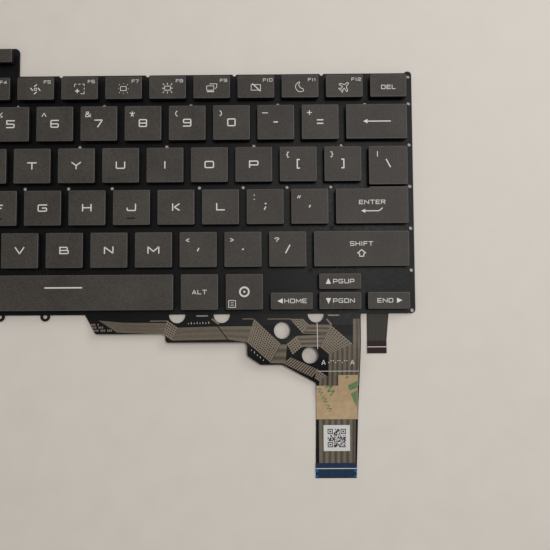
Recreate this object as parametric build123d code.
from build123d import *
import math
import os

os.makedirs("parts", exist_ok=True)

# Key grid: all cap widths and heights are those of the flat tops
pitch_x = 19.05
pitch_y = 18.25
cap_gap = 3.15
backspace_w = 26.15
f_cap_h = 9.85
f_gap = 3.1
f_start = 29.6
base_cap_h = 15.15
base_gap = 2.95
ctrl_w = 19.8
arrow_w = 17.85
arrow_gap = 2.7
arrow_low_h = 7.2
arrow_split = 1.3
backslash_extra = 1.55
enter_step = 0.75
hot_cap_h = 6.0

# Keycap section
travel = 1.7
foot_gap = 0.2
cap_t = 1.9
crown_t = 0.9
cap_wall = 0.9
cap_flare = 0.1
cap_bevel = 0.25
home_bar_l = 3.5
home_bar_w = 0.45
home_bar_rise = 2.7
home_bar_t = 0.15

# Stack of sheets
panel_t = 0.5
plate_t = 0.5
film_t = 0.3
side_margin = 3.1
top_margin = 2.05
bottom_margin = 1.95
panel_inset = 2.6
film_inset = 2.7

# Stake holes and edge ears of the plate
stake_r = 0.8
stake_clear = 0.4
stake_sides = 8
notch_r = 0.8
margin_hole_inset = 1.3
corner_hole_inset = 1.6
ear_r = 2.05
ear_hole_r = 0.95
ear_drop = 0.6
ear_from_centre = 19.4
ear_pitch = 19.6
corner_ear_w = 3.4
corner_ear_rise = 0.7
plate_corner_r = 1.6
tab_h = 12.5
tab_right = 32.1
tab_keys = 4
tab_side = 1.6
tab_corner_r = 2.0
tab_key_lift = 4.75

# Membrane apron and tail, with x measured in from the right edge of the plate
apron_left = 142.1
apron_foot_left = 137.0
apron_depth_1 = 8.2
apron_step_1 = 107.0
apron_depth_2 = 11.9
apron_step_2 = 72.1
apron_depth_3 = 17.6
apron_chamfer_left = 66.4
apron_depth_4 = 21.5
apron_chamfer_right = 57.1
tail_shoulder = 29.5
tail_left_top = 42.8
tail_left_end = 43.4
tail_right_top = 23.5
tail_right_end = 26.0
tail_end = 69.7
film_corner_r = 1.5
film_arch_at = 14.0
film_arch_rise = 2.4
film_arch_steps = 6
film_table_at = 42.0
boss_hole_r = 3.5
boss_hole_drop = 0.2
boss_holes_edge = (42.7, 83.1, 102.3)
boss_holes_free = ((57.2, 7.0), (45.4, 17.5))
slit_l = 5.1
slit_w = 0.6
slits = (91.5, 35.0)

# What lies on the tail
liner_t = 0.25
liner_top = 30.6
liner_end = 44.95
liner_edge = 0.15
liner_step_h = 4.6
liner_step_w = 8.3
label_t = 0.1
label_w = 11.2
label_h = 10.9
label_gap = 2.5
stiffener_t = 0.2
stiffener_l = 5.9
stiffener_back = 0.4
stiffener_notch = 0.45
stiffener_notch_at = 1.6

# Backlight ribbon
ribbon_t = 0.2
ribbon_left = 20.8
ribbon_w_top = 9.4
ribbon_w_end = 8.3
ribbon_l = 17.1
ribbon_stiffener_l = 5.3

# Scissor links, domes and stabiliser wires
link_l = 9.6
link_w = 10.4
link_bar = 1.0
link_bar_slim = 0.6
link_t = 0.7
link_clear = 0.15
lift_clear = 0.05
dome_lean = 0.35
dome_sides = 6
still_dome_sides = 4
wire_r = 0.35
wire_sides = 6
wire_inset = 3.0
wire_arm = 7.5
wire_wall_gap = 0.35

# Derived grid and stack
cap_w = pitch_x - cap_gap
cap_h = pitch_y - cap_gap
field_w = 13 * pitch_x + backspace_w
field_h = f_cap_h + f_gap + 3 * pitch_y + cap_h + base_gap + base_cap_h
plate_w = field_w + 2 * side_margin
plate_h = field_h + top_margin + bottom_margin
right = plate_w / 2
bottom = -plate_h / 2
field_left = -field_w / 2
field_top = plate_h / 2 - top_margin
row_top_number = field_top - f_cap_h - f_gap
row_top_base = row_top_number - 3 * pitch_y - cap_h - base_gap
z_plate = panel_t
z_film = z_plate + plate_t
z_film_top = z_film + film_t
z_skirt = z_film_top + foot_gap + travel
z_top = z_skirt + cap_t
z_ceiling = z_top - crown_t
lift = z_ceiling - z_film_top


def letter_row(names, top, height, start):
    """Row of unit caps between a first and a last cap that fill the row to both field edges."""
    keys = []
    last = len(names) - 1
    for i, name in enumerate(names):
        x0 = 0 if i == 0 else start + (i - 1) * pitch_x
        x1 = start - cap_gap if i == 0 else x0 + cap_w
        x1 = field_w if i == last else x1
        keys.append((name, field_left + x0, top - height, x1 - x0, height))
    return keys


# Rows from the function row down to the row of letters above the space bar
row_f = letter_row(
    ["esc"] + ["f%d" % n for n in range(1, 13)] + ["del"], field_top, f_cap_h, f_start
)
row_number = letter_row(
    ["grave", *"1234567890", "minus", "equal", "backspace"], row_top_number, cap_h, pitch_x
)
row_q = letter_row(
    ["tab", *"qwertyuiop", "bracket_left", "bracket_right", "backslash"],
    row_top_number - pitch_y, cap_h, 1.5 * pitch_x,
)
row_a = letter_row(
    ["caps", *"asdfghjkl", "semicolon", "quote", "enter"],
    row_top_number - 2 * pitch_y, cap_h, 1.75 * pitch_x,
)
row_z = letter_row(
    ["shift_left", *"zxcvbnm", "comma", "period", "slash", "shift_right"],
    row_top_number - 3 * pitch_y, cap_h, 2.25 * pitch_x,
)

# Space-bar row: modifiers chain from the left, arrows from the right, the space bar fills the rest
base_y = row_top_base - base_cap_h
left_chain = [("ctrl", 0, ctrl_w)]
for i, name in enumerate(("fn", "system", "alt_left")):
    left_chain.append((name, ctrl_w + cap_gap + i * pitch_x, cap_w))
arrow_right_x = field_w - arrow_w
arrow_down_x = arrow_right_x - arrow_gap - arrow_w
arrow_left_x = arrow_down_x - arrow_gap - arrow_w
assistant_x = arrow_left_x - pitch_x
alt_right_x = assistant_x - pitch_x
space_x = ctrl_w + cap_gap + 3 * pitch_x
space_w = alt_right_x - cap_gap - space_x
full_height = [("space", space_x, space_w), ("alt_right", alt_right_x, cap_w), ("assistant", assistant_x, cap_w)]
row_base = [(n, field_left + x, base_y, w, base_cap_h) for n, x, w in left_chain + full_height]
arrow_up_y = base_y + arrow_low_h + arrow_split
arrow_up_h = base_cap_h - arrow_low_h - arrow_split
for name, x in (("arrow_left", arrow_left_x), ("arrow_down", arrow_down_x), ("arrow_right", arrow_right_x)):
    row_base.append((name, field_left + x, base_y, arrow_w, arrow_low_h))
row_base.append(("arrow_up", field_left + arrow_down_x, arrow_up_y, arrow_w, arrow_up_h))

# Hot keys on the tab above the function row
tab_x1 = -tab_right
tab_x0 = tab_x1 - (tab_keys - 1) * pitch_x - cap_w - 2 * tab_side
hot_keys = []
for i in range(tab_keys):
    hot_x = tab_x0 + tab_side + i * pitch_x
    hot_keys.append(("hot_%d" % i, hot_x, plate_h / 2 + tab_key_lift, cap_w, hot_cap_h))

# Keys from the named one rightwards have a joint each; those left of it stand still as one group
rows = (row_f, row_number, row_q, row_a, row_z, row_base)
first_moving = ("f5", "6", "t", "g", "v", "space")
moving_keys = []
still_keys = list(hot_keys)
for row, first in zip(rows, first_moving):
    place = [key[0] for key in row].index(first)
    moving_keys += row[place:]
    still_keys += row[:place]


def box_sketch(x, y, w, h):
    """Rectangle from its lower left corner."""
    return Pos(x + w / 2, y + h / 2) * Rectangle(w, h)


def cap_outline(key):
    """Flat top of a cap: the backslash is deeper, and the enter key steps up beside it."""
    name, x, y, w, h = key
    outline = box_sketch(x, y, w, h)
    if name == "backslash":
        outline = box_sketch(x, y - backslash_extra, w, h + backslash_extra)
    if name == "enter":
        beside = row_q[-1]
        outline += box_sketch(beside[1], y, beside[3], h + enter_step)
    return outline


def keycap(key):
    """Flared skirt, bevelled crown, hollow below."""
    name, x, y, w, h = key
    skirt = Plane.XY.offset(z_skirt) * offset(cap_outline(key), cap_flare, kind=Kind.INTERSECTION)
    crown = Plane.XY.offset(z_top) * cap_outline(key)
    cap = loft([skirt.face(), crown.face()])
    cap = chamfer(cap.faces().sort_by(Axis.Z)[-1].edges(), cap_bevel)
    room = box_sketch(x + cap_wall, y + cap_wall, w - 2 * cap_wall, h - 2 * cap_wall)
    cap -= extrude(Plane.XY.offset(z_skirt) * room, z_ceiling - z_skirt)
    if name in ("f", "j"):
        bar = box_sketch(x + (w - home_bar_l) / 2, y + home_bar_rise, home_bar_l, home_bar_w)
        cap += extrude(Plane.XY.offset(z_top) * bar, home_bar_t)
    return cap


def link_sizes(key):
    """Outer width and bar of the link pair; low caps take slim links laid along the row."""
    room = key[4] - 2 * cap_wall - 2 * link_clear
    along_row = room < link_l
    bar = link_bar if room > 0.7 * link_w else link_bar_slim
    return along_row, min(link_w, room), bar


def centre_of(key):
    return key[1] + key[3] / 2, key[2] + key[4] / 2


def link_frame(width, bar, tilt):
    """One open frame of the pair, tilted about its pivot line."""
    frame = Rectangle(width, link_l) - Rectangle(width - 2 * bar, link_l - 2 * bar)
    return Rot(tilt, 0, 0) * extrude(frame, link_t / 2, both=True)


def scissor_pair(key):
    """Wide frame and narrow frame crossing at mid height, their ends on the film and under the cap."""
    along_row, width, bar = link_sizes(key)
    rise = lift - 2 * lift_clear
    tilt = math.degrees(math.asin((rise - link_t) / link_l))
    inner = width - 2 * bar - 2 * link_clear
    x, y = centre_of(key)
    place = Pos(x, y, z_film_top + lift / 2) * Rot(0, 0, 90 if along_row else 0)
    return [place * link_frame(width, bar, tilt), place * link_frame(inner, bar, -tilt)]


def dome(key, height, sides):
    """Tapered rubber dome that stands inside the inner link frame."""
    along_row, width, bar = link_sizes(key)
    radius = (width - 4 * bar - 4 * link_clear) / 2
    x, y = centre_of(key)
    foot = Pos(x, y, z_film_top) * RegularPolygon(radius, sides)
    return extrude(foot, height, taper=math.degrees(math.atan(dome_lean * radius / height)))


def stabiliser(key):
    """Bent steel wire: long bar under the crown, two arms down to the film."""
    name, x, y, w, h = key
    y_bar = y + h - cap_wall - wire_wall_gap - wire_r
    z_bar = z_ceiling - lift_clear - wire_r
    z_foot = z_film_top + lift_clear + wire_r
    x0 = x + wire_inset
    x1 = x + w - wire_inset
    y_foot = y_bar - wire_arm
    path = Polyline((x0, y_foot, z_foot), (x0, y_bar, z_bar), (x1, y_bar, z_bar), (x1, y_foot, z_foot))
    section = Plane(origin=path @ 0, z_dir=path % 0) * RegularPolygon(wire_r, wire_sides)
    return sweep(section, path=path, transition=Transition.RIGHT)


# Stake holes sit in key gaps on the seams between rows
key_left = {key[0]: key[1] for row in rows for key in row}


def gaps_left_of(names, y):
    """Places in the gaps at the left of the named keys, on one seam."""
    return [(key_left[name] - cap_gap / 2, y) for name in names]


seam_number = row_top_number + f_gap / 2
seam_q = row_top_number - cap_h - cap_gap / 2
seam_a = seam_q - pitch_y
seam_z = seam_a - pitch_y
seam_base = row_top_base + base_gap / 2
open_stakes = gaps_left_of(("f5", "f7", "f9", "f11", "del"), seam_number)
open_stakes += gaps_left_of(("7", "9", "minus", "backspace"), seam_q)
open_stakes += gaps_left_of(("g", "h", "j", "l", "semicolon", "quote", "enter"), seam_a)
blind_stakes = gaps_left_of(("h", "k", "semicolon", "enter"), seam_z)
blind_stakes += gaps_left_of(("b", "m", "period", "shift_right"), seam_base)
stakes = open_stakes + blind_stakes
notches = gaps_left_of(("f6", "f8", "f10", "f12"), plate_h / 2)
seams = (seam_number, seam_q, seam_a, seam_z, seam_base)
margin_y = (plate_h / 2 - corner_hole_inset, *seams, bottom + margin_hole_inset)
margin_x = right - margin_hole_inset
margins = [(side * margin_x, y) for side in (-1, 1) for y in margin_y]
ears = [(-ear_from_centre - i * ear_pitch, bottom - ear_drop) for i in range(2)]


# Support plate: one stamped sheet with its tab, ears, notches and holes
plate = RectangleRounded(plate_w, plate_h, plate_corner_r)
tab = box_sketch(tab_x0, plate_h / 2 - tab_corner_r, tab_x1 - tab_x0, tab_h + tab_corner_r)
plate += fillet(tab.vertices().group_by(Axis.Y)[-1], tab_corner_r)
ear_top = box_sketch(
    right - corner_ear_w, plate_h / 2 - corner_ear_w, corner_ear_w, corner_ear_w + corner_ear_rise
)
plate += fillet(ear_top.vertices().group_by(Axis.Y)[-1], plate_corner_r)
plate += [Pos(x, y) * Circle(ear_r) for x, y in ears]
plate -= [Pos(x, y) * Circle(notch_r) for x, y in notches]
plate -= [Pos(x, y) * RegularPolygon(stake_r, stake_sides) for x, y in stakes]
plate -= [Pos(x, y) * Circle(stake_r) for x, y in margins]
plate -= [Pos(x, y) * Circle(ear_hole_r) for x, y in ears]
support_plate = extrude(Plane.XY.offset(z_plate) * plate, plate_t)

# Backlight panel under the plate, open under the stake holes of the upper three seams
stake_room = 2 * (stake_r + stake_clear)
panel = box_sketch(-right + panel_inset, bottom, plate_w - 2 * panel_inset, plate_h - panel_inset)
panel -= [Pos(x, y) * Rectangle(stake_room, stake_room) for x, y in open_stakes]
backlight_panel = extrude(panel, panel_t)


# Films that leave the plate arch up a little, then come down to the table
arch_top = z_film + film_arch_rise


def ease(start, end, z_start, z_end):
    """Points of a soft run between two heights, with distances below the plate."""
    points = []
    for i in range(film_arch_steps):
        share = i / film_arch_steps
        swing = (1 - math.cos(math.pi * share)) / 2
        points.append((bottom - start - share * (end - start), z_start + swing * (z_end - z_start)))
    return points


def drape(sketch, rise, thick):
    """Sheet of even thickness that follows the arch of the tail."""
    run = ease(0, film_arch_at, z_film, arch_top)
    run += ease(film_arch_at, film_table_at, arch_top, 0)
    run += [(bottom - film_table_at, 0), (bottom - tail_end, 0)]
    low = [(y, z + rise) for y, z in run]
    high = [(y, z + rise + thick) for y, z in reversed(run)]
    band = extrude(Plane.YZ * make_face(Polyline(*low, *high, close=True)), right, both=True)
    return band & extrude(sketch, 2 * z_top)


# Membrane circuit: key sheet, apron that gathers the traces, and the long tail
sheet = box_sketch(
    -right + film_inset, bottom, plate_w - 2 * film_inset, field_top - bottom - cap_flare
)
sheet += box_sketch(
    tab_x0 + tab_side / 2, field_top - cap_gap, tab_x1 - tab_x0 - tab_side, tab_h + tab_side
)
sheet -= [Pos(x, y) * Rectangle(stake_room, stake_room) for x, y in stakes]
apron_line = [
    (apron_left, 0),
    (apron_foot_left, apron_depth_1),
    (apron_step_1, apron_depth_1),
    (apron_step_1, apron_depth_2),
    (apron_step_2, apron_depth_2),
    (apron_step_2, apron_depth_3),
    (apron_chamfer_left, apron_depth_4),
    (apron_chamfer_right, apron_depth_4),
    (tail_left_top, tail_shoulder),
    (tail_left_end, tail_end),
    (tail_right_end, tail_end),
    (tail_right_top, 0),
]
apron = make_face(Polyline(*[(right - x, bottom - y) for x, y in apron_line], close=True))
turns = [v for v in apron.vertices() if bottom - tail_end + film_corner_r < v.Y < bottom - film_corner_r]
apron = fillet(turns, film_corner_r)
bosses = [(x, boss_hole_drop) for x in boss_holes_edge] + list(boss_holes_free)
holes = [Pos(right - x, bottom - y) * Circle(boss_hole_r) for x, y in bosses]
holes += [Pos(right - x, bottom - slit_w) * Rectangle(slit_l, slit_w) for x in slits]
membrane_circuit = extrude(Plane.XY.offset(z_film) * sheet, film_t) + drape(apron, 0, film_t)
membrane_circuit -= [extrude(hole, 2 * z_top) for hole in holes]


def tail_edge(y):
    """Left and right edge of the tail at a distance below the plate."""
    down = (y - tail_shoulder) / (tail_end - tail_shoulder)
    left = tail_left_top + down * (tail_left_end - tail_left_top)
    far = tail_right_top + y / tail_end * (tail_right_end - tail_right_top)
    return right - left, right - far


# Tape liner: full width of the tail, with a step up along its right edge
liner_x0 = tail_edge(liner_end)[0] + liner_edge
liner_x1 = tail_edge(liner_end)[1] - liner_edge
liner = box_sketch(liner_x0, bottom - liner_end, liner_x1 - liner_x0, liner_end - liner_top)
liner += box_sketch(
    liner_x1 - liner_step_w, bottom - liner_top, liner_step_w, liner_step_h
)
tape_liner = drape(liner, film_t, liner_t)

# Code label below the liner, centred on the tail
label_y = bottom - liner_end - label_gap - label_h
label_mid = sum(tail_edge(liner_end + label_gap + label_h / 2)) / 2
label = box_sketch(label_mid - label_w / 2, label_y, label_w, label_h)
code_label = drape(label, film_t, label_t)

# Stiffener on the tail's end, notched at both sides
stiff_y0 = tail_end - stiffener_back - stiffener_l
stiff_x0 = tail_edge(tail_end)[0]
stiff_x1 = tail_edge(tail_end)[1]
stiff_y = bottom - tail_end + stiffener_back
stiff = box_sketch(stiff_x0, stiff_y, stiff_x1 - stiff_x0, stiffener_l)
notch_y = stiff_y + stiffener_notch_at
stiff -= [Pos(x, notch_y) * Rectangle(2 * stiffener_notch, stiffener_notch) for x in (stiff_x0, stiff_x1)]
tail_stiffener = drape(stiff, film_t, stiffener_t)

# Backlight ribbon from the panel's lower edge, with its own stiffener
ribbon_x0 = right - ribbon_left
ribbon_y = bottom - ribbon_l
ribbon_line = [
    (ribbon_x0, bottom),
    (ribbon_x0, ribbon_y),
    (ribbon_x0 + ribbon_w_end, ribbon_y),
    (ribbon_x0 + ribbon_w_end, ribbon_y + ribbon_stiffener_l),
    (ribbon_x0 + ribbon_w_top, bottom),
]
backlight_ribbon = extrude(make_face(Polyline(*ribbon_line, close=True)), ribbon_t)
ribbon_end = box_sketch(ribbon_x0, ribbon_y, ribbon_w_end, ribbon_stiffener_l)
ribbon_stiffener = extrude(Plane.XY.offset(ribbon_t) * ribbon_end, stiffener_t)
ribbon_stiffeners = Compound([tail_stiffener.solid(), ribbon_stiffener.solid()])

# Mechanisms under the moving keys, and the still keys fused to their domes
domes = [dome(key, lift - lift_clear, dome_sides).solid() for key in moving_keys]
links = [link.solid() for key in moving_keys for link in scissor_pair(key)]
wide_keys = [key for key in moving_keys if key[3] > backspace_w - cap_gap]
wires = [stabiliser(key).solid() for key in wide_keys]
still = [(keycap(key) + dome(key, lift, still_dome_sides)).solid() for key in still_keys]

nodes = {
    "support_plate": support_plate,
    "backlight_panel": backlight_panel,
    "membrane_circuit": membrane_circuit,
    "tape_liner": tape_liner,
    "code_label": code_label,
    "ribbon_stiffeners": ribbon_stiffeners,
    "backlight_ribbon": backlight_ribbon,
    "rubber_domes": Compound(domes),
    "scissor_links": Compound(links),
    "stabiliser_wires": Compound(wires),
    "left_hand_keys": Compound(still),
}
for key in moving_keys:
    nodes["key_" + key[0]] = keycap(key)

for name, shape in nodes.items():
    export_step(shape, "parts/%s.step" % name)
